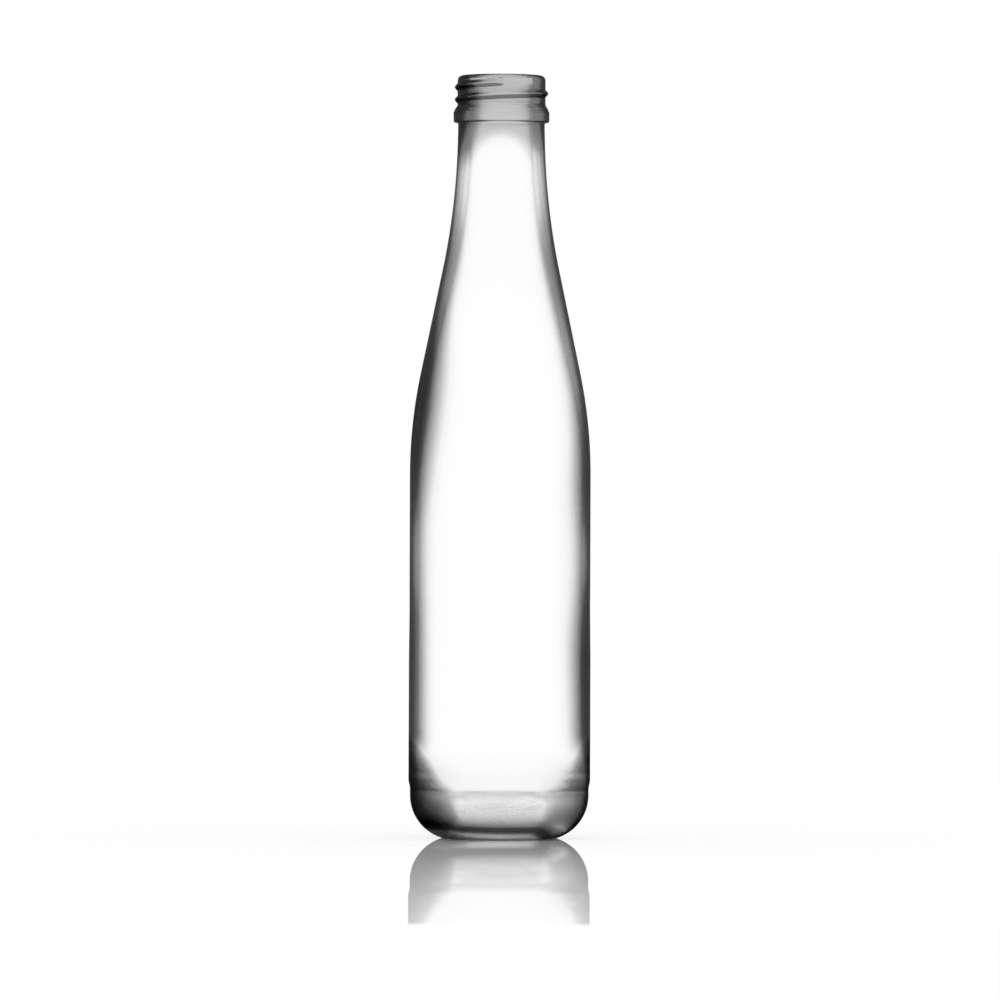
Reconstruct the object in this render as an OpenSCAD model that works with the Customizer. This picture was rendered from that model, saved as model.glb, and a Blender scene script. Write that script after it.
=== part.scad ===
// Empty glass soda bottle with a tall tapered neck and a 28 mm screw finish.
// The bottle is one moulded piece of glass, so it is one solid: a wall turned
// about the Z axis, with a screw thread standing out from the top of it.
// The origin is the middle of the foot, on the table. +Z is up, and the thread
// starts at the front, which faces -Y.

/* [Outside] */
// Height from the table to the sealing lip
bottle_h = 221.9; // [190:0.1:260]
// Diameter of the label panel, the upper part of the straight side
panel_d = 52.6; // [46:0.1:66]
// How far the belly, the lower part of the straight side, stands out past the panel
belly_bulge = 0.15; // [0:0.05:1]
// Height at which the belly starts to ease in to the panel
belly_top_z = 52; // [30:0.5:60]
// Height at which the label panel starts
panel_z = 66; // [62:0.5:90]
// Height at which the straight side ends and the shoulder starts
shoulder_z = 105.5; // [92:0.5:130]
// Diameter of the neck right under the finish
neck_d = 25.2; // [24:0.1:26.6]
// Steepest slope of the shoulder over its mean slope: 1 is a plain cone, 2 is all curve
slope_ratio = 1.54; // [1.2:0.01:1.9]
// Share of the shoulder's two sweeps that the hollow upper one takes
neck_share = 0.587; // [0.3:0.01:0.75]

/* [Foot] */
// How far the heel steps in under the belly
heel_inset = 0.45; // [0:0.05:1.5]
// Height at which the heel's step starts
heel_step_z = 14.2; // [13.6:0.1:18]
// Height that the heel's step takes
heel_step_h = 2.7; // [1:0.1:5]
// Radius of the heel
heel_r = 13; // [9:0.1:13.5]
// Outer diameter of the bearing ring that the bottle stands on
foot_d = 32; // [29:0.5:36]
// Radius that rounds the heel into the bearing ring
foot_round_r = 3; // [1:0.1:5]
// Width of the bearing ring's flat
foot_flat_w = 1.2; // [0.6:0.1:3]
// Height of the push-up at the middle of the foot
push_up_h = 2.8; // [1:0.1:4]

/* [Glass] */
// Thickness of the wall along the straight side
wall = 2.6; // [1.8:0.1:4]
// Height of the inside floor above the table where it is lowest
floor_z = 4.8; // [4:0.1:8]
// How far the inside floor is domed over the push-up
floor_dome_h = 1.4; // [0.5:0.1:4]
// How far in from the wall the rounded inside heel reaches
inside_heel_w = 17; // [8:0.1:18]
// How far up from the floor the rounded inside heel reaches
inside_heel_h = 22; // [10:0.5:30]
// Diameter of the straight bore through the finish
bore_d = 18.2; // [16:0.1:20]
// Depth of the straight bore below the lip
bore_h = 17; // [12:0.5:40]

/* [Finish] */
// Height of the finish, from the underside of the bead to the lip
finish_h = 14.5; // [14:0.1:20]
// Diameter of the plain wall between the turns of the thread
root_d = 25.6; // [25:0.1:26.4]
// Diameter over the crest of the thread
thread_d = 27.2; // [26.8:0.1:28]
// Rise of the thread in one turn
pitch = 3.64; // [3:0.02:4.2]
// Turns of the thread
turns = 1.78; // [1:0.01:1.9]
// Distance from the lip down to the thread where it starts
thread_drop = 2.4; // [2.2:0.1:3.5]
// Angle about Z at which the thread starts, where 270 is the front
thread_angle = 280; // [0:5:355]
// Axial width of the thread where it leaves the wall
thread_w = 2.1; // [1.4:0.1:2.6]
// Axial width of the thread's crest
crest_w = 0.9; // [0.4:0.1:1.2]
// Diameter of the bead that a closure's band holds on to
bead_d = 27.95; // [27.5:0.05:29]
// Height of the bead's upright side
bead_h = 3.4; // [2:0.1:4.5]
// Height of the bead's sloping underside
bead_under_h = 0.8; // [0.3:0.1:1.5]
// Height of the slope above the bead
bead_slope_h = 1.9; // [1:0.1:2.5]
// Outer radius of the lip
lip_r = 1.5; // [0.8:0.1:1.6]
// Radius of the lip's inner edge
lip_inner_r = 0.9; // [0.4:0.1:1]

/* [Hidden] */
$fn = 96;

// Degrees in one step of a short arc, and steps in one long sweep
ARC_STEP = 6;
SWEEP_STEPS = 12;
// Degrees in one step along the thread
THREAD_STEP = 10;
// Degrees over which the thread runs out to nothing at each end
RUN_OUT = 30;
// How deep the thread is rooted in the wall, so that the two are one solid
ROOTED = 0.3;

// Radii that follow from the diameters
panel_r = panel_d / 2;
belly_r = panel_r + belly_bulge;
heel_side_r = belly_r - heel_inset;
neck_r = neck_d / 2;
foot_r = foot_d / 2;
foot_inner_r = foot_r - foot_flat_w;
inside_r = panel_r - wall;
bore_r = bore_d / 2;
root_r = root_d / 2;
thread_r = thread_d / 2;
bead_r = bead_d / 2;

// Levels of the finish
finish_z = bottle_h - finish_h;
bead_z = finish_z + bead_under_h;
bead_top_z = bead_z + bead_h;
bore_z = bottle_h - bore_h;

// Points of an arc about c, from angle a0 to a1
function arc(c, r, a0, a1) =
    let (n = max(2, ceil(abs(a1 - a0) / ARC_STEP)))
    [for (i = [0 : n]) let (a = a0 + (a1 - a0) * i / n) c + r * [cos(a), sin(a)]];

// Shoulder from radius r_low at z_low up to radius r_top at z_top. A swelling
// sweep and a hollow one are each upright at their outer end, and a straight
// slope touches both.
function shoulder(r_low, z_low, r_top, z_top) =
    let (
        dr = r_low - r_top,
        dz = z_top - z_low,
        a = slope_ratio * atan2(dr, dz),
        sweep = (dz * sin(a) - dr * cos(a)) / (1 - cos(a)),
        top_sweep = sweep * neck_share,
        low_sweep = sweep - top_sweep
    )
    concat(
        [for (i = [0 : SWEEP_STEPS]) let (b = a * i / SWEEP_STEPS)
            [r_low - low_sweep * (1 - cos(b)), z_low + low_sweep * sin(b)]],
        [for (i = [SWEEP_STEPS : -1 : 0]) let (b = a * i / SWEEP_STEPS)
            [r_top + top_sweep * (1 - cos(b)), z_top - top_sweep * sin(b)]]
    );

// Push-up under the foot: a shallow cap of a sphere, from the axis out to the flat
function push_up() =
    let (
        r = (foot_inner_r * foot_inner_r + push_up_h * push_up_h) / (2 * push_up_h),
        a = asin(foot_inner_r / r),
        c = [0, push_up_h - r]
    )
    [for (i = [0 : SWEEP_STEPS]) let (b = a * i / SWEEP_STEPS) c + r * [sin(b), cos(b)]];

// Heel: from the flat of the bearing ring, round two arcs, to the upright side
function heel() =
    let (
        out = heel_side_r - heel_r,
        reach = heel_r - foot_round_r,
        a = acos((foot_r - out) / reach),
        c = [out, foot_round_r + reach * sin(a)]
    )
    concat(
        arc([foot_r, foot_round_r], foot_round_r, -90, -a),
        arc(c, heel_r, -a, 0)
    );

// Straight side, from the heel's step to the label panel
function side() = [
    [heel_side_r, heel_step_z],
    [belly_r, heel_step_z + heel_step_h],
    [belly_r, belly_top_z],
    [panel_r, panel_z]
];

// Outside of the finish, from the bead's underside over the lip to the bore
function finish() = concat(
    [
        [bead_r, bead_z],
        [bead_r, bead_top_z],
        [root_r, bead_top_z + bead_slope_h]
    ],
    arc([root_r - lip_r, bottle_h - lip_r], lip_r, 0, 90),
    arc([bore_r + lip_inner_r, bottle_h - lip_inner_r], lip_inner_r, 90, 180)
);

// Inside, from the bore down the neck and the wall to the middle of the floor.
// The heel inside is a quarter of an ellipse, much rounder than the outside, and
// the floor's dome is level at its middle and where that ellipse starts.
function inside() =
    let (
        dome_r = inside_r - inside_heel_w,
        down = shoulder(inside_r, shoulder_z, bore_r, bore_z)
    )
    concat(
        [for (i = [len(down) - 1 : -1 : 0]) down[i]],
        [for (p = arc([0, 0], 1, 0, -90))
            [dome_r + inside_heel_w * p[0], floor_z + inside_heel_h * (1 + p[1])]],
        [for (i = [SWEEP_STEPS - 1 : -1 : 0]) let (f = i / SWEEP_STEPS)
            [dome_r * f, floor_z + floor_dome_h * (1 + cos(180 * f)) / 2]]
    );

// The whole wall of glass, turned about the axis
module wall_of_glass() {
    rotate_extrude()
        polygon(concat(
            push_up(),
            heel(),
            side(),
            shoulder(panel_r, shoulder_z, neck_r, finish_z),
            finish(),
            inside()
        ));
}

// One cross-section of the thread, s degrees down from its start. It sinks below
// the wall's surface at both ends.
function thread_section(s) =
    let (
        length = 360 * turns,
        run_out = min(1, s / RUN_OUT, (length - s) / RUN_OUT),
        depth = ROOTED / 2 + (thread_r - root_r + ROOTED / 2) * sin(90 * run_out),
        foot_w = thread_w + (thread_w - crest_w) * ROOTED / (thread_r - root_r),
        a = thread_angle - s,
        z = bottle_h - thread_drop - pitch * s / 360
    )
    [for (p = [[0, -foot_w], [depth, -crest_w], [depth, crest_w], [0, foot_w]])
        let (r = root_r - ROOTED + p[0]) [r * cos(a), r * sin(a), z + p[1] / 2]];

// Right-handed thread, swept down the finish
module thread() {
    rings = ceil(360 * turns / THREAD_STEP);
    side = 4;
    last = rings * side;
    points = [for (i = [0 : rings]) each thread_section(360 * turns * i / rings)];
    sides = [for (i = [0 : rings - 1], j = [0 : side - 1])
        let (k = (j + 1) % side)
        [i * side + j, (i + 1) * side + j, (i + 1) * side + k, i * side + k]];
    ends = [[0, 1, 2, 3], [last + 3, last + 2, last + 1, last]];
    polyhedron(points, concat(sides, ends), convexity = 4);
}

// The bottle: its wall and its thread are one piece of clear glass
module glass_bottle() {
    color("gainsboro", 0.5)
        union() {
            wall_of_glass();
            thread();
        }
}

glass_bottle();
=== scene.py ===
# %% [markdown]
# # A clear glass soda bottle
# The real bottle is one piece of clear glass, blown in a two-part mould: a thick foot, a
# straight side, a long tapered neck, and a pressed finish with a screw thread and a bead.
# The frame holds that bottle at its estimated size. This lesson dresses it: it turns a
# finer wall of glass on nearly the same sizes, gives it a real inside, a rounded thread
# and a mould's seams, and draws its dark edges in the glass, on a stage that is white.
# The steps are the outline, the spin, the ridges, two glass materials, the stage and the
# camera.

# %% Load the frame
import math
import bpy
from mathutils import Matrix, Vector


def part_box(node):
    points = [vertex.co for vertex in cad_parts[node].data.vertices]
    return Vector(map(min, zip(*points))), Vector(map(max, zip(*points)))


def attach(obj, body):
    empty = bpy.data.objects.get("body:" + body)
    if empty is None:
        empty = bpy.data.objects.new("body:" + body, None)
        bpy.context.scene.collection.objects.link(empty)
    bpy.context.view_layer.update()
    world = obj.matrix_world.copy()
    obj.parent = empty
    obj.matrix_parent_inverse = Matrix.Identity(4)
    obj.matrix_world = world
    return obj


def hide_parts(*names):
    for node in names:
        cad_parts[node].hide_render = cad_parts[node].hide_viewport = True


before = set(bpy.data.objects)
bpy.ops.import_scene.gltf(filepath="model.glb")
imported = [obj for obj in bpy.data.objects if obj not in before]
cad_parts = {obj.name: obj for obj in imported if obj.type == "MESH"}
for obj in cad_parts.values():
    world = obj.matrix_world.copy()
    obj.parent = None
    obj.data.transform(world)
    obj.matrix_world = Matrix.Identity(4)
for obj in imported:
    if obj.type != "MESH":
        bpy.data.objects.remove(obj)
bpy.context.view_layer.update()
LOW, HIGH = (Vector(corner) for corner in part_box("glass_bottle"))
print("bottle box, mm:", [round(1000 * v, 2) for v in (*LOW, *HIGH)])

# %% [markdown]
# ## Sizes
# A lathe shape needs few sizes: a radius and a height at each place where the outline
# turns. The height and the widest radius come from the frame, so the glass fills the
# frame's box and doesn't leave it. The others are the bottle's own, in millimetres, and
# some radii are up to 0.03 mm less than the frame's.

# %% Sizes of the bottle
MM = 0.001
TALL = HIGH.z / MM
BELLY_R = min(-LOW.x, -LOW.y, HIGH.x, HIGH.y) / MM
PANEL_R = 26.28
HEEL_SIDE_R = 25.98
HEEL_R = 13.0
HEEL_TOP_Z = 14.2
BELLY_Z = 17.2
BELLY_TOP_Z = 50.0
PANEL_Z = 68.0
SHOULDER_Z = 105.5
NECK_R = 12.6
FINISH_Z = 207.4
FOOT_R = 16.0
FOOT_INNER_R = 14.8
FOOT_ROUND_R = 3.0
PUSH_UP = 2.8
WALL = 2.6
FLOOR_Z = 4.8
FLOOR_DOME = 1.4
INSIDE_HEEL_W = 17.0
INSIDE_HEEL_H = 22.0
BORE_R = 9.1
BORE_Z = TALL - 17.0
print(f"bottle {TALL:.1f} mm tall, {2 * BELLY_R:.1f} mm across")

# %% [markdown]
# ## The outline of the glass
# An outline for a lathe is one open line from the middle of the foot, up the outside,
# over the lip and down the inside to the middle of the floor. Arcs keep it short to
# write, and a sweep from the straight side to the neck is two arcs with a straight
# slope between them. Short steps in the finish leave enough rings there for a thread.

# %% Arcs and sweeps
def arc(centre, radius, start, end, steps):
    """Points of an arc, angles in degrees."""
    turn = [math.radians(start + (end - start) * i / steps) for i in range(steps + 1)]
    return [(centre[0] + radius * math.cos(a), centre[1] + radius * math.sin(a)) for a in turn]


def line(start, end, steps):
    """Points from start to end, without start."""
    return [tuple(p + (q - p) * i / steps for p, q in zip(start, end))
            for i in range(1, steps + 1)]


def ease(start, end, steps):
    """Points from start to end on a smooth S, without start."""
    points = []
    for i in range(1, steps + 1):
        share = i / steps
        smooth = (1 - math.cos(math.pi * share)) / 2
        points.append((start[0] + (end[0] - start[0]) * smooth,
                       start[1] + (end[1] - start[1]) * share))
    return points


SLOPE_RATIO = 1.54  # steepest slope of the shoulder over its mean slope
NECK_SHARE = 0.587  # share of the two sweeps that the hollow one takes


def shoulder(low, top, steps):
    """Swelling sweep, straight slope and hollow sweep, from low up to top."""
    across, up = low[0] - top[0], top[1] - low[1]
    steep = SLOPE_RATIO * math.atan2(across, up)
    both = (up * math.sin(steep) - across * math.cos(steep)) / (1 - math.cos(steep))
    hollow = both * NECK_SHARE
    swelling = both - hollow
    turn = [steep * i / steps for i in range(steps + 1)]
    rise = [(low[0] - swelling * (1 - math.cos(a)), low[1] + swelling * math.sin(a))
            for a in turn]
    fall = [(top[0] + hollow * (1 - math.cos(a)), top[1] - hollow * math.sin(a))
            for a in reversed(turn)]
    return rise + line(rise[-1], fall[0], 6) + fall[1:]


# %% [markdown]
# ## Foot and heel
# The bottle stands on a narrow ring round a shallow push-up. The heel is one large
# round, and a small step marks where the mould's bottom plate met its sides.

# %% Outline of the foot, the side and the shoulder
EDGE_R = 0.6


def push_up():
    """Cap of a sphere under the foot, rounded into the ring."""
    sphere = (FOOT_INNER_R ** 2 + PUSH_UP ** 2) / (2 * PUSH_UP)
    half = math.asin(FOOT_INNER_R / sphere)
    cap = [half * i / 16 for i in range(15)]
    points = [(sphere * math.sin(a), PUSH_UP - sphere * (1 - math.cos(a))) for a in cap]
    return points + ease(points[-1], (FOOT_INNER_R + EDGE_R, 0.0), 5)


def heel():
    """From the ring round the heel to the foot of the side."""
    out = HEEL_SIDE_R - HEEL_R
    reach = HEEL_R - FOOT_ROUND_R
    turn = math.acos((FOOT_R - out) / reach)
    centre = (out, FOOT_ROUND_R + reach * math.sin(turn))
    degrees = math.degrees(turn)
    small = arc((FOOT_R, FOOT_ROUND_R), FOOT_ROUND_R, -90, -degrees, 4)
    return small + arc(centre, HEEL_R, -degrees, 0, 26)[1:]


def side():
    """Step over the heel, the belly and the label panel."""
    points = line(heel()[-1], (HEEL_SIDE_R, HEEL_TOP_Z), 2)
    points += ease(points[-1], (BELLY_R, BELLY_Z), 10)
    points += line(points[-1], (BELLY_R, BELLY_TOP_Z), 14)
    points += ease(points[-1], (PANEL_R, PANEL_Z), 8)
    return points + line(points[-1], (PANEL_R, SHOULDER_Z), 15)


outside = push_up() + heel() + side()
outside += shoulder((PANEL_R, SHOULDER_Z), (NECK_R, FINISH_Z), 22)[1:]
print(len(outside), "points up to the finish")

# %% [markdown]
# ## Finish
# The finish was pressed before the bottle was blown, so its edges are crisp but never
# sharp: a cove under the bead, a rounded bead, a slope back to the plain wall, and a
# lip with a flat top that a closure's liner seals on.

# %% Outline of the finish
BEAD_R = 13.95
BEAD_LOW_Z = 208.2
BEAD_TOP_Z = 211.6
ROOT_R = 12.8
ROOT_Z = 213.5
LIP_R = 1.5
LIP_INNER_R = 0.9
BEAD_EDGE_R = 0.55
COVE_R = 0.5


def finish():
    """From the neck over the bead, the plain wall and the lip to the bore."""
    cove = arc((NECK_R + COVE_R, BEAD_LOW_Z - COVE_R), COVE_R, 180, 90, 5)
    low_edge = arc((BEAD_R - BEAD_EDGE_R, BEAD_LOW_Z + BEAD_EDGE_R), BEAD_EDGE_R, -90, 0, 6)
    top_edge = arc((BEAD_R - BEAD_EDGE_R, BEAD_TOP_Z - BEAD_EDGE_R), BEAD_EDGE_R, 0, 55, 4)
    points = cove + low_edge + line(low_edge[-1], top_edge[0], 8) + top_edge[1:]
    points += ease(points[-1], (ROOT_R, ROOT_Z), 10)
    lip = arc((ROOT_R - LIP_R, TALL - LIP_R), LIP_R, 0, 90, 9)
    points += line(points[-1], lip[0], 44) + lip[1:]
    inner = arc((BORE_R + LIP_INNER_R, TALL - LIP_INNER_R), LIP_INNER_R, 90, 180, 6)
    return points + line(points[-1], inner[0], 2) + inner[1:]


outside += finish()
print(len(outside), "points over the lip")

# %% [markdown]
# ## Inside
# No mould touched the inside. Air pressed the hot glass out, so the inner wall follows
# the outer one loosely. It is supposed to be 2.6 mm away in the body and 3.5 mm in the
# neck, with a floor that is domed over the push-up.

# %% Outline of the inside
INSIDE_R = PANEL_R - WALL


def inside():
    """From the bore down to the middle of the floor."""
    down = shoulder((INSIDE_R, SHOULDER_Z), (BORE_R, BORE_Z), 22)[::-1]
    corner = (INSIDE_R - INSIDE_HEEL_W, FLOOR_Z + INSIDE_HEEL_H)
    low = [(corner[0] + INSIDE_HEEL_W * x, corner[1] + INSIDE_HEEL_H * z)
           for x, z in arc((0, 0), 1, 0, -90, 48)]
    dome = [(corner[0] * i / 12, FLOOR_Z + FLOOR_DOME * (1 + math.cos(math.pi * i / 12)) / 2)
            for i in range(11, -1, -1)]
    bore = line(outside[-1], down[0], 10)
    return bore + down[1:] + line(down[-1], low[0], 26) + low[1:] + dome


outline = outside + inside()
inside_start = len(outside)
print(len(outline), "points in all")

# %% [markdown]
# ## Turn the glass
# A plane merged to one point is the pen. Each extrude draws the outline one step on, and
# Spin turns the line into a wall about Z. Merging doubles closes the two poles and the
# seam, and only then are the normals made to point out of the glass.

# %% Draw and spin the outline
TURNS = 240


def select_none():
    """The frame's own nodes come in selected, so nothing may stay so."""
    if bpy.context.mode != "OBJECT":
        bpy.ops.object.mode_set(mode="OBJECT")
    bpy.ops.object.select_all(action="DESELECT")


def turned(name, points):
    """A closed solid of revolution from an outline that starts and ends on Z."""
    select_none()
    x, z = (v * MM for v in points[0])
    bpy.ops.mesh.primitive_plane_add(size=MM, location=(0, 0, 0))
    piece = bpy.context.active_object
    piece.name = name
    bpy.ops.object.mode_set(mode="EDIT")
    bpy.ops.mesh.select_all(action="SELECT")
    bpy.ops.mesh.merge(type="CENTER")
    bpy.ops.transform.translate(value=(x, 0, z))
    for last, this in zip(points, points[1:]):
        step = ((this[0] - last[0]) * MM, 0, (this[1] - last[1]) * MM)
        bpy.ops.mesh.extrude_region_move(TRANSFORM_OT_translate={"value": step})
    bpy.ops.mesh.select_all(action="SELECT")
    bpy.ops.mesh.spin(steps=TURNS, angle=2 * math.pi, center=(0, 0, 0), axis=(0, 0, 1))
    bpy.ops.mesh.select_all(action="SELECT")
    bpy.ops.mesh.remove_doubles(threshold=2e-6)
    bpy.ops.mesh.normals_make_consistent(inside=False)
    bpy.ops.object.mode_set(mode="OBJECT")
    return piece


bottle = turned("bottle_glass", outline)
print(len(bottle.data.vertices), "vertices,", len(bottle.data.polygons), "faces")

# %% [markdown]
# ## Thread
# The real thread was pressed with the finish: a rounded ridge that starts at the front,
# runs down to the right through 1.78 turns and fades out at both ends. It could be swept
# as a coil and joined on, but a second solid leaves walls inside the glass, and clear
# glass shows them. Raising the wall itself keeps one skin. A vertex group holds how far
# each point rises, from 0 to 1, worked out from its angle and its height.

# %% Weights for the thread
THREAD_DEPTH = 0.8
PITCH = 3.64
TURNS_OF_THREAD = 1.78
THREAD_DROP = 2.4
THREAD_START = -80.0
THREAD_HALF_W = 1.12
THREAD_ROUND = 1.3  # how slim the ridge is: 1 is a plain cosine
RUN_OUT = 26.0
WALL_MARGIN = 0.9  # deep enough in to find every point of the plain wall


def smooth(share):
    """0 to 1 with level ends."""
    share = min(1.0, max(0.0, share))
    return share * share * (3 - 2 * share)


def thread_height(angle, z):
    """How far the thread stands out at an angle in degrees and a height in mm."""
    best = 0.0
    whole = 360 * TURNS_OF_THREAD
    first = (THREAD_START - angle) % 360
    down = first
    while down <= whole:
        middle = TALL - THREAD_DROP - PITCH * down / 360
        off = abs(z - middle) / THREAD_HALF_W
        if off < 1:
            ends = smooth(min(down, whole - down) / RUN_OUT)
            best = max(best, ends * math.cos(off * math.pi / 2) ** THREAD_ROUND)
        down += 360
    return best


def in_finish(co):
    """True on the outside between the bead and the lip."""
    return co.z > BEAD_TOP_Z * MM and math.hypot(co.x, co.y) > (ROOT_R - WALL_MARGIN) * MM


thread = bottle.vertex_groups.new(name="thread")
for vertex in bottle.data.vertices:
    if in_finish(vertex.co):
        turn = math.degrees(math.atan2(vertex.co.y, vertex.co.x))
        height = thread_height(turn, vertex.co.z / MM)
        if height > 0:
            thread.add([vertex.index], height, "REPLACE")
print(sum(len(v.groups) > 0 for v in bottle.data.vertices), "points rise into the thread")

# %% [markdown]
# ## Inside and seams
# The two halves of such a mould meet on two sides, here supposed to be the left and the
# right, and leave a hair-fine ridge. It runs from the label panel up to the bead. The
# belly has none, because it already fills the frame's box. Only the outside has seams,
# because no mould touched the inside. So the points of the inside go in a group of their
# own first, found by comparing each point with the outline of the inside, and that group
# serves again when the glass gets its materials.

# %% Weights for the inside and the seams
SEAM_RAISE = 0.03
SEAM_HALF_W = 0.9
SEAM_LOW_Z = 69.0
SEAM_TOP_Z = 206.5
SEAM_FADE = 4.0
CELLS = 50  # cells of the grid in one millimetre, for telling points apart

near = {(round(CELLS * r) + i, round(CELLS * z) + j) for r, z in outline[inside_start:]
        for i in (-1, 0, 1) for j in (-1, 0, 1)}
inside_points = bottle.vertex_groups.new(name="inside")
seam = bottle.vertex_groups.new(name="seam")
for vertex in bottle.data.vertices:
    x, y, z = (v / MM for v in vertex.co)
    if (round(CELLS * math.hypot(x, y)), round(CELLS * z)) in near:
        inside_points.add([vertex.index], 1.0, "REPLACE")
        continue
    across = 1 - abs(y) / SEAM_HALF_W
    along = min(1, (z - SEAM_LOW_Z) / SEAM_FADE, (SEAM_TOP_Z - z) / SEAM_FADE)
    if across > 0 and along > 0:
        seam.add([vertex.index], across * along, "REPLACE")

inside_index = inside_points.index
on_inside = {v.index for v in bottle.data.vertices
             if any(g.group == inside_index for g in v.groups)}
print(len(on_inside), "of", len(bottle.data.vertices), "points are on the inside")

# %% [markdown]
# ## Raise them
# Displace pushes each point out along its normal by its weight. The crest must stay
# inside the frame's box.

# %% Raise the thread and the seams
def displace(piece, group, strength):
    """Push a vertex group along its normals, and apply it."""
    select_none()
    bpy.context.view_layer.objects.active = piece
    piece.select_set(True)
    push = piece.modifiers.new("push", "DISPLACE")
    push.vertex_group = group
    push.strength = strength
    push.mid_level = 0.0
    bpy.ops.object.modifier_apply(modifier=push.name)


displace(bottle, "thread", THREAD_DEPTH * MM)
displace(bottle, "seam", SEAM_RAISE * MM)
bpy.ops.object.shade_smooth()
crest = max(math.hypot(v.co.x, v.co.y) for v in bottle.data.vertices if v.co.z > BEAD_TOP_Z * MM)
print(f"thread crest {2 * crest / MM:.2f} mm across, bead {2 * BEAD_R:.2f} mm")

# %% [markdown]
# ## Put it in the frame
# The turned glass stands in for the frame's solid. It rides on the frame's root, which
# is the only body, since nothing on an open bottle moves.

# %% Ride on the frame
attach(bottle, "root")
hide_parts("glass_bottle")
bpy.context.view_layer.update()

# %% [markdown]
# ## What draws clear glass
# Clear glass has no colour of its own, and on a white stage it would vanish. What draws it
# is its edge: seen along the wall, light has far to go through the glass and leaves the
# picture, so the edge goes grey and then black. A black card at each side of the stage
# would do that in a studio, but it would need a new stage for each view. Here the dark
# edge is painted shade instead. Layer Weight says how far a face is turned away, from 0
# face on to 1 edge on, and a ramp on it paints the glass darker from every side alike.
#
# The stops of the ramps are fitted numbers, not the physics of glass. They were tuned
# for a level view from the front on this stage. From steep above they are too dark.
#
# There are three ramps, because a ray goes through three kinds of surface: into the glass
# on the outside, out of the hollow into the far wall, and out again after running along
# inside the wall. FOOT and HEEL_EDGE paint shade on the thick heel by height and by how
# far round the side a point is, and STEEP and EASE say at each height how fast HEEL_EDGE
# runs in and from where. TOP paints a grey shade on the finish. It reaches further down
# at the sides, so that the clear glass of the neck ends in an arch.
#
# The table of soft spots lists where the painted shade is made darker or lighter, as a
# thicker or thinner wall might move it: a centre, a reach in millimetres, and how much it
# moves the ramps. They are fitted too. The wall of the mesh is even.

# %% Tones of the glass
EDGE_OUT = ((0.0, 0.0), (0.30, 0.0), (0.38, 0.03), (0.47, 0.10), (0.53, 0.20), (0.60, 0.38),
            (0.69, 0.78), (0.80, 0.88), (1.0, 0.9))
EDGE_IN = ((0.0, 1.0), (0.20, 1.0), (0.32, 0.99), (0.40, 0.96), (0.507, 0.86), (0.579, 0.64),
           (0.668, 0.38), (0.80, 0.20), (1.0, 0.09))
EXIT = ((0.0, 1.0), (0.05, 0.7), (0.12, 0.15), (0.2, 0.03), (1.0, 0.03))
FOOT = ((0.0, 0.6), (0.06, 0.3), (0.1, 0.02), (0.13, 0.002), (0.19, 0.004), (0.25, 0.1),
        (0.28, 0.2), (0.395, 0.55), (0.48, 0.68), (0.56, 1.0))
HEEL_EDGE = ((0.0, 1.0), (0.14, 1.0), (0.17, 0.9), (0.21, 0.56), (0.25, 0.41), (0.28, 0.29),
             (0.32, 0.2), (0.36, 0.17), (0.42, 0.13), (0.5, 0.09), (0.6, 0.06), (0.8, 0.035),
             (1.0, 0.02))
STEEP = ((0.0, 0.1), (0.06, 0.15), (0.13, 0.5), (0.16, 0.6), (0.2475, 0.6), (0.32, 0.25),
         (1.0, 0.25))
EASE = ((0.0, 0.4), (0.2475, 0.4), (0.32, 0.11), (0.4275, 0.23), (0.5725, 0.40), (0.675, 0.6),
        (0.775, 1.0))
TOP = ((0.0, 1.0), (0.5, 1.0), (0.58, 0.97), (0.65, 0.6), (0.72, 0.6), (1.0, 0.52))
# soft spots of painted shade and painted light: positive amounts paint darker, negative lighter
SHADE_AND_LIGHT_SPOTS = (((-16, 0, 124), 38, 0.31), ((-26, 0, 83), 28, -0.08), ((-26, 0, 48), 30, 0.04),
          ((12, 0, 85), 50, 0.18), ((30, 0, 80), 34, -0.22), ((26, 0, 140), 26, -0.05),
          ((26, 0, 45), 45, 0.12), ((-13, 0, 215), 22, 0.36), ((0, 0, 190), 28, -0.15),
          ((-24, 0, 6), 34, 0.16), ((-19, -17, 9.5), 10, 0.12), ((17, -12, -2), 12, -0.32),
          ((22, -14, 16), 14, -0.16), ((-17, -20, 16), 11, -0.05))
WHITE = (1, 1, 1, 1)
print(len(SHADE_AND_LIGHT_SPOTS), "soft spots in the tones")

# %% [markdown]
# ## Small helpers for nodes
# A node tree written out link by link is long. Four helpers cover what the glass needs:
# a sum, a smooth step from one value to another, a grey ramp, and a choice between two
# colours.

# %% Node helpers
def math_node(tree, operation, *values):
    """A Math node, with sockets or numbers for its inputs."""
    node = tree.nodes.new("ShaderNodeMath")
    node.operation = operation
    for socket, value in zip(node.inputs, values):
        if isinstance(value, (int, float)):
            socket.default_value = value
        else:
            tree.links.new(value, socket)
    return node.outputs[0]


def span(tree, value, low, high, start, end):
    """A smooth Map Range from low..high to start..end."""
    node = tree.nodes.new("ShaderNodeMapRange")
    node.interpolation_type = "SMOOTHSTEP"
    limits = {"From Min": low, "From Max": high, "To Min": start, "To Max": end}
    for name, number in limits.items():
        node.inputs[name].default_value = number
    tree.links.new(value, node.inputs["Value"])
    return node.outputs["Result"]


def ramp(tree, value, stops):
    """A grey ramp through (position, grey) stops."""
    node = tree.nodes.new("ShaderNodeValToRGB")
    marks = node.color_ramp.elements
    while len(marks) < len(stops):
        marks.new(0.5)
    for mark, (place, grey) in zip(marks, stops):
        mark.position = place
        mark.color = (grey, grey, grey, 1)
    tree.links.new(value, node.inputs["Fac"])
    return node.outputs["Color"]


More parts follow.
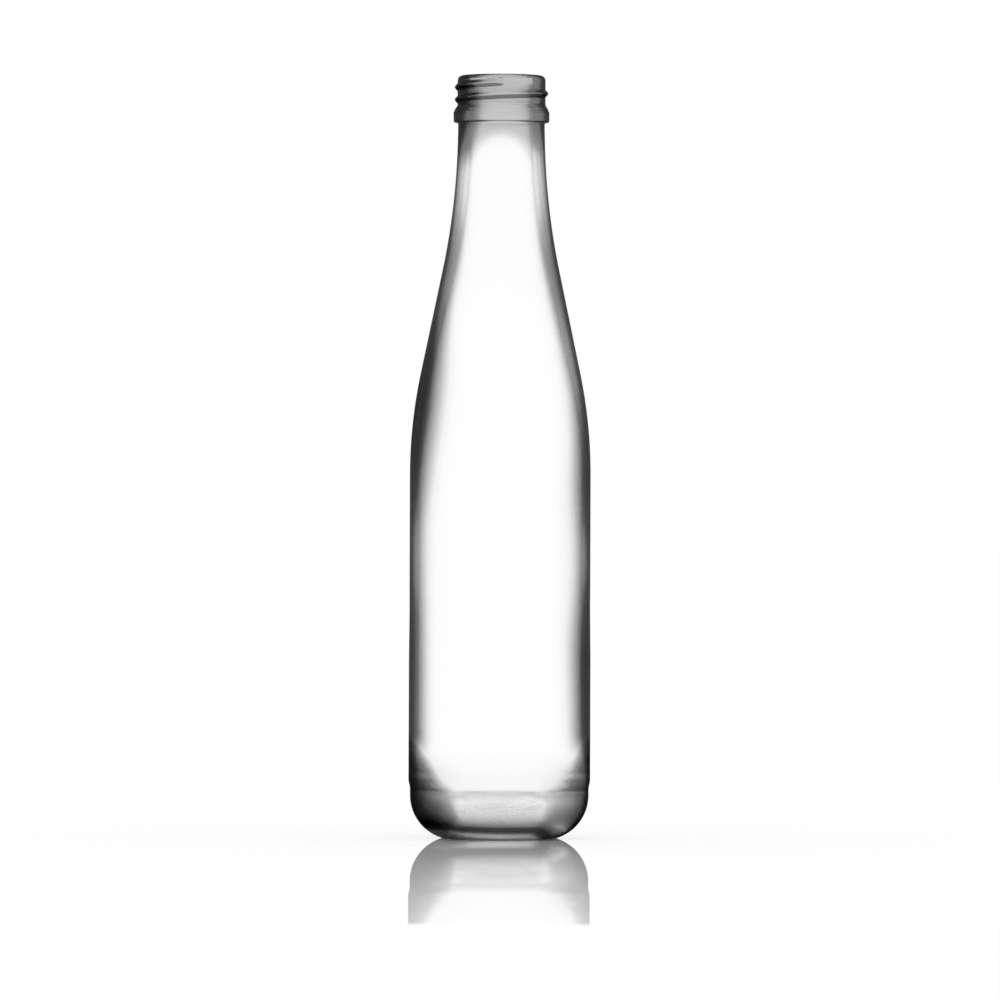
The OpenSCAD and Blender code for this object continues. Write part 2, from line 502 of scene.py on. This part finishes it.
def choose(tree, factor, first, second):
    """A colour Mix node between two sockets or colours."""
    node = tree.nodes.new("ShaderNodeMix")
    node.data_type = "RGBA"
    tree.links.new(factor, node.inputs["Factor"])
    for socket, value in ((node.inputs[6], first), (node.inputs[7], second)):
        if isinstance(value, tuple):
            socket.default_value = value
        else:
            tree.links.new(value, socket)
    return node.outputs[2]


print("helpers: math_node, span, ramp, choose")

# %% [markdown]
# ## Where the tones move
# The dark edge is wider on the left of the shoulder and low on the right. Here that is
# painted shade, made darker or lighter in soft lobes. It can be read as thicker glass
# there, but nothing was measured to say so, and the group below moves only the tones.
# Both skins of the glass must agree on it, so it is one node group that reads the place
# on the bottle, in the bottle's own coordinates. Soft lobes add up to Shift, which moves
# the ramps. The other outputs go by height: the heel, its round side, the bowl inside it,
# the finish, the neck, the bore, the stippled ring under the foot, and Top, which is
# where on the ramp TOP a height falls.

# %% Heights and reaches
MASKS = {"Bottom": (20, 30, 1.0, 0.0), "Bowl": (18, 30, 1.0, 0.0), "Wavy": (8, 15, 1.0, 0.0),
         "Neck": (140, 165, 0.0, 1.0), "Bore": (195, 207, 0.0, 1.0)}
FINISH_LOW_Z = (209, 211.5)
FINISH_HIGH_Z = (219, 220.5)
FINISH_SHIFT = (198, 208, 0.0, 0.12)  # painted shade: the pressed finish is greyer all round
RING_R = (15, 17)  # inside this the foot is stippled, outside it the heel gets painted shade
UNDER_Z = (2.9, 3.6)  # the stipple fades out here, up the push-up
FOOT_SPAN = 20  # height that the ramp FOOT covers
FOOT_SHIFT = -0.5  # share of Shift that moves it
HEEL_SPAN = 40  # height that the ramps STEEP and EASE cover
STEEPEST = 4.0  # what STEEP is multiplied by
EASE_FROM = 0.2  # what is taken off EASE
TOP_START = 180  # height at which the ramp TOP starts
TOP_SPAN = 40  # height that it covers
print("masks:", *MASKS)

# %% Group for the tones
def height_mask(tree, z, low, high, start, end):
    """A smooth mask between two heights in mm."""
    return span(tree, z, low * MM, high * MM, start, end)


def painted_shade_and_masks():
    """The group that moves the painted shade of the glass, by place and by height."""
    tree = bpy.data.node_groups.new("painted_shade_and_masks", "ShaderNodeTree")
    tree.interface.new_socket("Place", in_out="INPUT", socket_type="NodeSocketVector")
    for name in ("Shift", "Foot", "Low", "Tilt", "Finish", "Scuff", "Top", *MASKS):
        tree.interface.new_socket(name, in_out="OUTPUT", socket_type="NodeSocketFloat")
    place = tree.nodes.new("NodeGroupInput").outputs["Place"]
    out = tree.nodes.new("NodeGroupOutput").inputs
    split = tree.nodes.new("ShaderNodeSeparateXYZ")
    tree.links.new(place, split.inputs[0])
    x, y, z = split.outputs

    # Shift moves the painted shade: the finish and the soft spots
    shift = height_mask(tree, z, *FINISH_SHIFT)
    for centre, reach, amount in SHADE_AND_LIGHT_SPOTS:
        away = tree.nodes.new("ShaderNodeVectorMath")
        away.operation = "DISTANCE"
        tree.links.new(place, away.inputs[0])
        away.inputs[1].default_value = [v * MM for v in centre]
        lobe = span(tree, away.outputs["Value"], 0.0, reach * MM, amount, 0.0)
        shift = math_node(tree, "ADD", shift, lobe)
    tree.links.new(shift, out["Shift"])

    for name, mask in MASKS.items():
        tree.links.new(height_mask(tree, z, *mask), out[name])
    pressed = math_node(tree, "MULTIPLY", height_mask(tree, z, *FINISH_LOW_Z, 0.0, 1.0),
                        height_mask(tree, z, *FINISH_HIGH_Z, 1.0, 0.0))
    tree.links.new(pressed, out["Finish"])

    across = math_node(tree, "SQRT", math_node(
        tree, "ADD", math_node(tree, "MULTIPLY", x, x), math_node(tree, "MULTIPLY", y, y)))
    heel_side = span(tree, across, RING_R[0] * MM, RING_R[1] * MM, 0.0, 1.0)
    share = math_node(tree, "MULTIPLY", z, 1 / (HEEL_SPAN * MM))
    steep = math_node(tree, "MULTIPLY", ramp(tree, share, STEEP), STEEPEST)
    tree.links.new(math_node(tree, "MULTIPLY", steep, heel_side), out["Low"])
    tree.links.new(math_node(tree, "SUBTRACT", ramp(tree, share, EASE), EASE_FROM), out["Tilt"])
    stippled = math_node(tree, "MULTIPLY", math_node(tree, "SUBTRACT", 1.0, heel_side),
                         height_mask(tree, z, *UNDER_Z, 1.0, 0.0))
    tree.links.new(stippled, out["Scuff"])
    # painted shade on the heel, by height
    rise = math_node(tree, "MULTIPLY_ADD", z, 1 / (FOOT_SPAN * MM),
                     math_node(tree, "MULTIPLY", shift, FOOT_SHIFT))
    dark = math_node(tree, "SUBTRACT", 1.0, ramp(tree, rise, FOOT))
    dark = math_node(tree, "MULTIPLY", heel_side, dark)
    tree.links.new(math_node(tree, "SUBTRACT", 1.0, dark), out["Foot"])
    top = math_node(tree, "MULTIPLY_ADD", z, 1 / (TOP_SPAN * MM), -TOP_START / TOP_SPAN)
    tree.links.new(top, out["Top"])
    return tree


GROUP = painted_shade_and_masks()
print("painted_shade_and_masks:", len(GROUP.nodes), "nodes")

# %% [markdown]
# ## Waves in the glass
# Where the hot glass touched no mould it froze with shallow waves, and the mould stipples
# the ring under the foot, so that scuffs there don't start cracks. Both are a seeded
# noise on a Bump node, half a millimetre deep at full strength. The stretch along Z lays
# the waves flat. It is a group, because the inside of the heel and the ring under the
# foot both use it.

# %% Group for the waves
WAVE_FLAT = 3.0
WAVE_SCALE = 110.0
WAVE_DETAIL = 3.0
WAVE_DEPTH = 0.5


def ripple():
    """The group for a shallow waviness of the glass."""
    tree = bpy.data.node_groups.new("ripple", "ShaderNodeTree")
    tree.interface.new_socket("Place", in_out="INPUT", socket_type="NodeSocketVector")
    tree.interface.new_socket("Strength", in_out="INPUT", socket_type="NodeSocketFloat")
    tree.interface.new_socket("Normal", in_out="OUTPUT", socket_type="NodeSocketVector")
    given = tree.nodes.new("NodeGroupInput").outputs
    out = tree.nodes.new("NodeGroupOutput")
    stretch = tree.nodes.new("ShaderNodeVectorMath")
    stretch.operation = "MULTIPLY"
    stretch.inputs[1].default_value = (1.0, 1.0, WAVE_FLAT)
    tree.links.new(given["Place"], stretch.inputs[0])
    noise = tree.nodes.new("ShaderNodeTexNoise")
    noise.inputs["Scale"].default_value = WAVE_SCALE
    noise.inputs["Detail"].default_value = WAVE_DETAIL
    tree.links.new(stretch.outputs["Vector"], noise.inputs["Vector"])
    bump = tree.nodes.new("ShaderNodeBump")
    bump.inputs["Distance"].default_value = WAVE_DEPTH * MM
    tree.links.new(given["Strength"], bump.inputs["Strength"])
    tree.links.new(noise.outputs[0], bump.inputs["Height"])
    tree.links.new(bump.outputs["Normal"], out.inputs["Normal"])
    return tree


RIPPLE = ripple()
print("ripple:", len(RIPPLE.nodes), "nodes")

# %% [markdown]
# ## The start of a glass
# Soda-lime glass has an index of 1.52 and is smooth, so both skins are a Principled
# shader with full transmission and no roughness of its own. The low Specular Tint keeps
# the white stage from hazing the dark edges. Both skins also start with the two groups,
# and with Layer Weight and Geometry, which say how a face is turned and whether light
# meets it from inside the glass. Writing that once keeps the skins alike.

# %% Start of a glass
GLASS_IOR = 1.52
SHINE = (0.1, 0.1, 0.1, 1)
TOP_ARCH = 0.3  # how far the ramp TOP moves on a face seen edge on


def new_glass(name, wavy):
    """Clear glass on a Principled shader, with waves, and what its ramps need."""
    glass = bpy.data.materials.new(name)
    glass.use_nodes = True
    tree = glass.node_tree
    shader = tree.nodes["Principled BSDF"]
    shader.inputs["Roughness"].default_value = 0.0
    shader.inputs["IOR"].default_value = GLASS_IOR
    shader.inputs["Transmission Weight"].default_value = 1.0
    shader.inputs["Specular Tint"].default_value = SHINE
    place = tree.nodes.new("ShaderNodeTexCoord").outputs["Object"]
    shade_and_masks = tree.nodes.new("ShaderNodeGroup")
    shade_and_masks.node_tree = GROUP
    tree.links.new(place, shade_and_masks.inputs["Place"])
    layer = tree.nodes.new("ShaderNodeLayerWeight")
    layer.inputs["Blend"].default_value = 0.5
    geometry = tree.nodes.new("ShaderNodeNewGeometry")
    wave = tree.nodes.new("ShaderNodeGroup")
    wave.node_tree = RIPPLE
    tree.links.new(place, wave.inputs["Place"])
    tree.links.new(shade_and_masks.outputs[wavy], wave.inputs["Strength"])
    tree.links.new(wave.outputs["Normal"], shader.inputs["Normal"])
    return glass, tree, shader, shade_and_masks.outputs, layer.outputs["Facing"], geometry.outputs


def grey_top(tree, shade_and_masks, facing):
    """The painted grey of the finish, which hangs further down where the glass turns away."""
    return ramp(tree, math_node(tree, "MULTIPLY_ADD", facing, TOP_ARCH, shade_and_masks["Top"]), TOP)


def height_of(tree, normal):
    """How much a normal points up, from -1 to 1."""
    split = tree.nodes.new("ShaderNodeSeparateXYZ")
    tree.links.new(normal, split.inputs[0])
    return split.outputs["Z"]


print("glass of index", GLASS_IOR)

# %% [markdown]
# ## The outer skin: light on its way out
# Cycles follows rays from the camera, so in and out are meant that way round. A ray that
# was mirrored along inside the wall leaves through the outer skin, and EXIT holds it
# back, which paints the dark rim as shade. Any other ray passes. In the heel, and a
# little in the bore, mirrored rays pass as well, so that the thick glass there has no
# painted rim and stays light. Where a ray enters, Base Color holds only the painted grey
# shade of the finish. The stippled ring under the foot is the only rough part.

# %% Outer skin, light on its way out
BORE_LIGHT = 0.05  # share of the mirrored rays that the bore lets out
SCUFF_BLUR = 0.35

outer, tree, shader, shade_and_masks, facing, geometry = new_glass("clear_glass", "Scuff")
path = tree.nodes.new("ShaderNodeLightPath").outputs
turned_away = math_node(tree, "ADD", facing, shade_and_masks["Shift"])

# painted dark rim on mirrored rays, left off in the heel and the bore
unshaded = math_node(tree, "MULTIPLY_ADD", shade_and_masks["Bore"], BORE_LIGHT, shade_and_masks["Bottom"])
exit_edge = choose(tree, unshaded, ramp(tree, turned_away, EXIT), WHITE)
caught = choose(tree, path["Is Reflection Ray"], WHITE, exit_edge)
base = choose(tree, geometry["Backfacing"], grey_top(tree, shade_and_masks, facing), caught)
tree.links.new(base, shader.inputs["Base Color"])
scuffed = math_node(tree, "MULTIPLY", shade_and_masks["Scuff"], SCUFF_BLUR)
tree.links.new(scuffed, shader.inputs["Roughness"])
print(outer.name, len(tree.nodes), "nodes so far")

# %% [markdown]
# ## The outer skin: light on its way in
# The painted shade on the way in is a black coat without any shine (Coat IOR 1, black
# tint): it swallows light that enters and leaves the way out alone. EDGE_OUT gives its
# edge. The painted shade of the heel multiplies in on top, by height and by `around`,
# which is how far round the side a point is with its tilt left out. In the finish the
# faces that look down, the undersides of the thread and the bead, take less light, and
# the coat paints them darker as shade, which draws them as lines. Light that already
# went through glass passes the coat freely, or the thick foot and its image in the floor
# would be darkened twice.

# %% Outer skin, light on its way in
FLANK = (-0.35, -0.03, 0.75, 0.0)  # from faces that look down to upright ones

shader.inputs["Coat IOR"].default_value = 1.0
shader.inputs["Coat Roughness"].default_value = 0.0
shader.inputs["Coat Tint"].default_value = (0, 0, 0, 1)
up = height_of(tree, geometry["Normal"])
level = math_node(tree, "SQRT", math_node(
    tree, "SUBTRACT", 1.0, math_node(tree, "MULTIPLY", up, up)))
around = math_node(tree, "SUBTRACT", 1.0, math_node(
    tree, "DIVIDE", math_node(tree, "SUBTRACT", 1.0, facing), level))
around = math_node(tree, "MULTIPLY", math_node(tree, "ADD", around, shade_and_masks["Shift"]), shade_and_masks["Low"])
low_edge = ramp(tree, math_node(tree, "SUBTRACT", around, shade_and_masks["Tilt"]), HEEL_EDGE)
heel_tone = math_node(tree, "SQRT", math_node(tree, "MULTIPLY", shade_and_masks["Foot"], low_edge))
flank = math_node(tree, "MULTIPLY", span(tree, up, *FLANK), shade_and_masks["Finish"])
tone = math_node(tree, "MULTIPLY", heel_tone, math_node(tree, "SUBTRACT", 1.0, flank))

# painted shade: a black coat, darker towards the edges
coat = ramp(tree, turned_away, EDGE_OUT)
clear = math_node(tree, "MULTIPLY", tone, math_node(tree, "SUBTRACT", 1.0, coat))
been_through = math_node(tree, "GREATER_THAN", path["Transmission Depth"], 0.5)
free = math_node(tree, "MAXIMUM", been_through, geometry["Backfacing"])
clear = math_node(tree, "MAXIMUM", clear, free)
tree.links.new(math_node(tree, "SUBTRACT", 1.0, clear), shader.inputs["Coat Weight"])
print(outer.name, len(tree.nodes), "nodes")

# %% [markdown]
# ## The inner skin
# The inner skin paints shade on light that goes from the hollow into the far wall, which
# draws the second, softer edge inside the first. On level faces, such as the floor, and
# in the heel it does nothing. The bowl of the heel, the neck and the bore are a little
# rough, to soften the hard lines that a mirror-smooth skin shows there. In the bowl that
# also stands in for small bubbles and flecks.

# %% Inner skin
LEVEL = (0.5, 0.95, 0.0, 1.0)  # from sloping faces to level ones
BLURS = {"Neck": 0.15, "Bowl": 0.3, "Bore": 0.12}

inner, tree, shader, shade_and_masks, facing, geometry = new_glass("clear_glass_inside", "Wavy")
# painted shade of the far wall's edge
edge = ramp(tree, math_node(tree, "ADD", facing, shade_and_masks["Shift"]), EDGE_IN)
up = math_node(tree, "ABSOLUTE", height_of(tree, geometry["Normal"]))
plain = math_node(tree, "MAXIMUM", span(tree, up, *LEVEL), shade_and_masks["Bottom"])
edge = choose(tree, plain, edge, WHITE)
edge = math_node(tree, "MULTIPLY", edge, grey_top(tree, shade_and_masks, facing))
tree.links.new(choose(tree, geometry["Backfacing"], edge, WHITE), shader.inputs["Base Color"])
blur = 0.0
for name, amount in BLURS.items():
    blur = math_node(tree, "MULTIPLY_ADD", shade_and_masks[name], amount, blur)
tree.links.new(blur, shader.inputs["Roughness"])
print(inner.name, len(tree.nodes), "nodes")

# %% [markdown]
# ## Put the skins on
# The mesh stays one closed skin, so that light bends right on its way through. Only the
# material changes at the lip: a face belongs to the inside when all its points do.

# %% Assign the skins
bottle.data.materials.clear()
bottle.data.materials.append(outer)
bottle.data.materials.append(inner)
for face in bottle.data.polygons:
    face.material_index = int(on_inside.issuperset(face.vertices))
print(sum(f.material_index for f in bottle.data.polygons), "faces inside")

# %% [markdown]
# ## Floor
# The bottle stands on a sheet of white gloss acrylic. A white matt board under a mirror
# is what such a sheet is: the matt part keeps the bottle's soft shadow, and the mirror
# part gives its image. The sheet's gloss wears off with distance from the bottle, so its
# far side is plain white and leaves no horizon. Light that came through the glass meets
# plain white, the same as the rest of the stage, or the thick heel would pick up its own
# shadow and look murky.

# %% Floor
FLOOR_SIZE = 30
GLOSS = ((0.0, 0.8), (0.25, 0.62), (0.42, 0.45), (0.48, 0.38), (0.495, 0.0))

select_none()
bpy.ops.mesh.primitive_plane_add(size=FLOOR_SIZE, location=(0, 0, 0))
floor = bpy.context.active_object
floor.name = "floor"
gloss = bpy.data.materials.new("white_gloss_floor")
gloss.use_nodes = True
nodes, links = gloss.node_tree.nodes, gloss.node_tree.links
nodes.clear()
out = nodes.new("ShaderNodeOutputMaterial")
mix = nodes.new("ShaderNodeMixShader")
place = nodes.new("ShaderNodeTexCoord")
away = nodes.new("ShaderNodeVectorMath")
away.operation = "LENGTH"
links.new(place.outputs["Object"], away.inputs[0])
links.new(ramp(gloss.node_tree, away.outputs["Value"], GLOSS), mix.inputs["Fac"])
matt = nodes.new("ShaderNodeBsdfDiffuse")
matt.inputs["Color"].default_value = (1, 1, 1, 1)
mirror = nodes.new("ShaderNodeBsdfGlossy")
mirror.inputs["Color"].default_value = (1, 1, 1, 1)
mirror.inputs["Roughness"].default_value = 0.0
links.new(matt.outputs["BSDF"], mix.inputs[1])
links.new(mirror.outputs["BSDF"], mix.inputs[2])
seen = nodes.new("ShaderNodeLightPath")
white = nodes.new("ShaderNodeEmission")
white.inputs["Strength"].default_value = 1.0
through = nodes.new("ShaderNodeMixShader")
links.new(seen.outputs["Is Transmission Ray"], through.inputs["Fac"])
links.new(mix.outputs["Shader"], through.inputs[1])
links.new(white.outputs["Emission"], through.inputs[2])
links.new(through.outputs["Shader"], out.inputs["Surface"])
floor.data.materials.append(gloss)
print("floor", [round(v) for v in floor.dimensions[:2]], "m")

# %% [markdown]
# ## Light
# Clear glass is lit from behind and from all round, never from a lamp in front, which
# would only put glare on it. A plain white world at strength 1 is a white tent round the
# stage: it is the light, and it is the background.

# %% World
scene = bpy.context.scene
world = bpy.data.worlds.new("studio")
scene.world = world
world.use_nodes = True
background = world.node_tree.nodes["Background"]
background.inputs["Color"].default_value = (1, 1, 1, 1)
background.inputs["Strength"].default_value = 1.0
print("world strength", background.inputs["Strength"].default_value)

# %% [markdown]
# ## Camera
# A long lens from about ten bottle heights away keeps the sides parallel. It looks level,
# a little under the middle of the bottle.

# %% Camera
AWAY = 2.4
EYE_Z = 0.0984
FRAME_PIXELS = 1000
PIXELS_PER_MM = 3.4362
PIXELS_ASIDE = -0.2
ROLL = -0.19
SENSOR = 36

camera_data = bpy.data.cameras.new("camera")
camera_data.sensor_width = SENSOR
camera_data.lens = SENSOR * PIXELS_PER_MM / FRAME_PIXELS * AWAY / MM
camera_data.clip_end = 100
camera = bpy.data.objects.new("camera", camera_data)
scene.collection.objects.link(camera)
camera.location = (PIXELS_ASIDE / PIXELS_PER_MM * MM, -AWAY, EYE_Z)
camera.rotation_euler = (math.radians(90), math.radians(ROLL), 0)
scene.camera = camera
scene.view_settings.view_transform = "Standard"
print("lens", round(camera_data.lens, 1))
